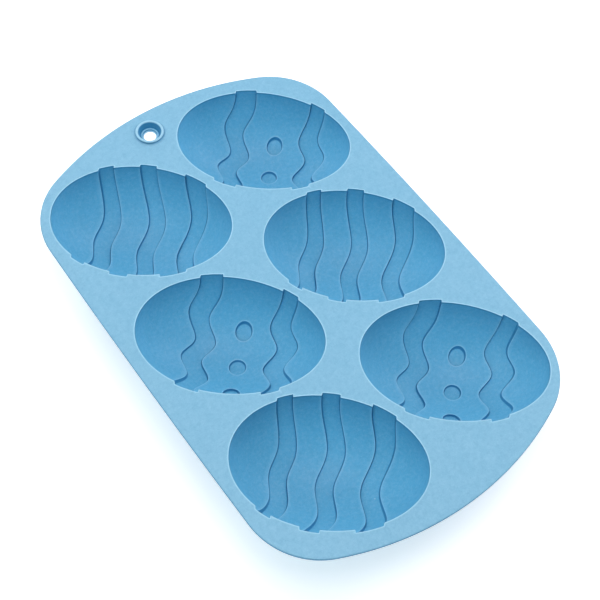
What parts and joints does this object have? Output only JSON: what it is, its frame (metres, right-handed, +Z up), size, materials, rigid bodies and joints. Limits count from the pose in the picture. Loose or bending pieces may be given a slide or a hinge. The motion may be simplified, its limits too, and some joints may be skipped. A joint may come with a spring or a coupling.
{
  "type": "soap mould",
  "caption": "Soft silicone soap mould: a flat tray web with slanted half-egg cups in two columns, wave and zigzag band patterns, and a hanging eyelet.",
  "frame": {"origin": "middle of the mould's outline, on the plane of the cups' flat bases", "axes": "+Y along the tray towards the end with the hanging eyelet, +Z up out of the cavities, +X across the tray"},
  "size_m": [0.188, 0.29, 0.0387],
  "materials": {
    "web_silicone": "matte",
    "cavity_silicone": "matte",
    "eyelet_silicone": "matte"
  },
  "bodies": {
    "root": {"web": "web_silicone", "hanging_eyelet": "eyelet_silicone", "wave_cup_eyelet_end_left": "cavity_silicone", "zigzag_cup_eyelet_end_right": "cavity_silicone", "zigzag_cup_middle_left": "cavity_silicone", "wave_cup_middle_right": "cavity_silicone", "wave_cup_far_end_left": "cavity_silicone", "zigzag_cup_far_end_right": "cavity_silicone"}
  },
  "joints": []
}
